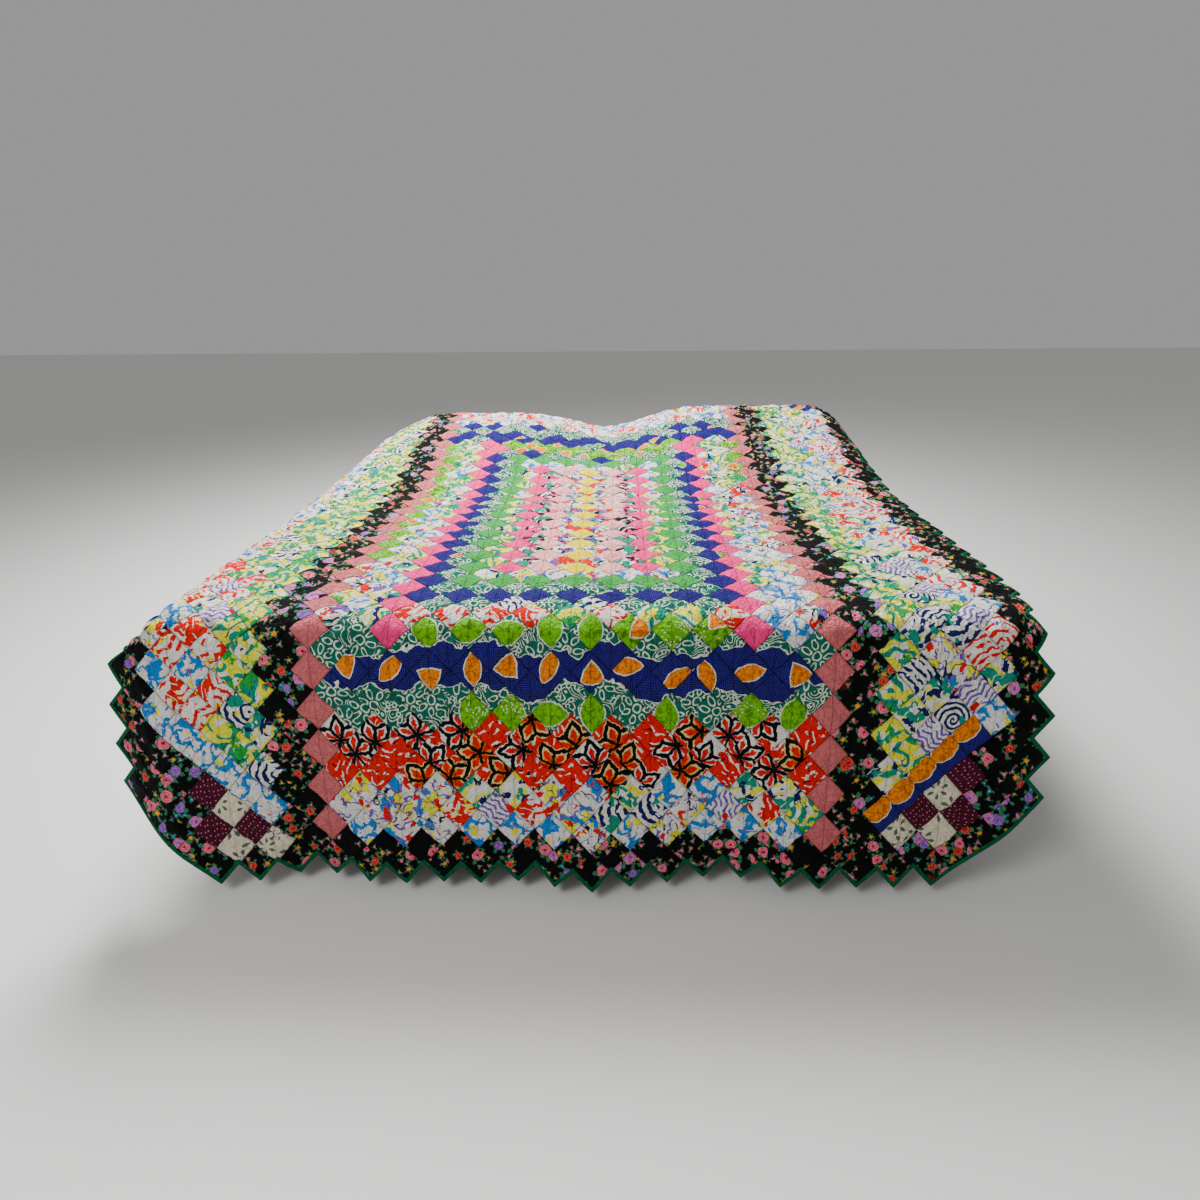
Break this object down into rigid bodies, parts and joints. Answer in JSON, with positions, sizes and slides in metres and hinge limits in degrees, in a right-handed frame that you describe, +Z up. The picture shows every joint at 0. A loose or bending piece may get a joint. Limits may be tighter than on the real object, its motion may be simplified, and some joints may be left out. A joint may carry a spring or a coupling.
{
  "type": "patchwork quilt on a plain bed",
  "caption": "Patchwork quilt of on-point print squares in nested rectangles, zigzag green-bound edge, draped over a plain bed with two pillows under it",
  "frame": {"origin": "middle of the underside of the bed base, on the floor", "axes": "+Z up, -Y toward the foot of the bed, +X to the right seen from the foot"},
  "size_m": [2.1748, 2.2033, 0.8738],
  "materials": {
    "quilt": "soft quilted cotton patchwork, many small prints",
    "binding": "plain woven cotton strip, dark green",
    "mattress": "dark printed cotton cover",
    "bed_base": "dark woven cover, matte",
    "pillow_cloth": "plain off-white cotton"
  },
  "bodies": {
    "root": {"quilt": "quilt", "binding": "binding", "mattress": "mattress", "bed_base": "bed_base", "pillow_left": "pillow_cloth", "pillow_right": "pillow_cloth"}
  },
  "joints": []
}
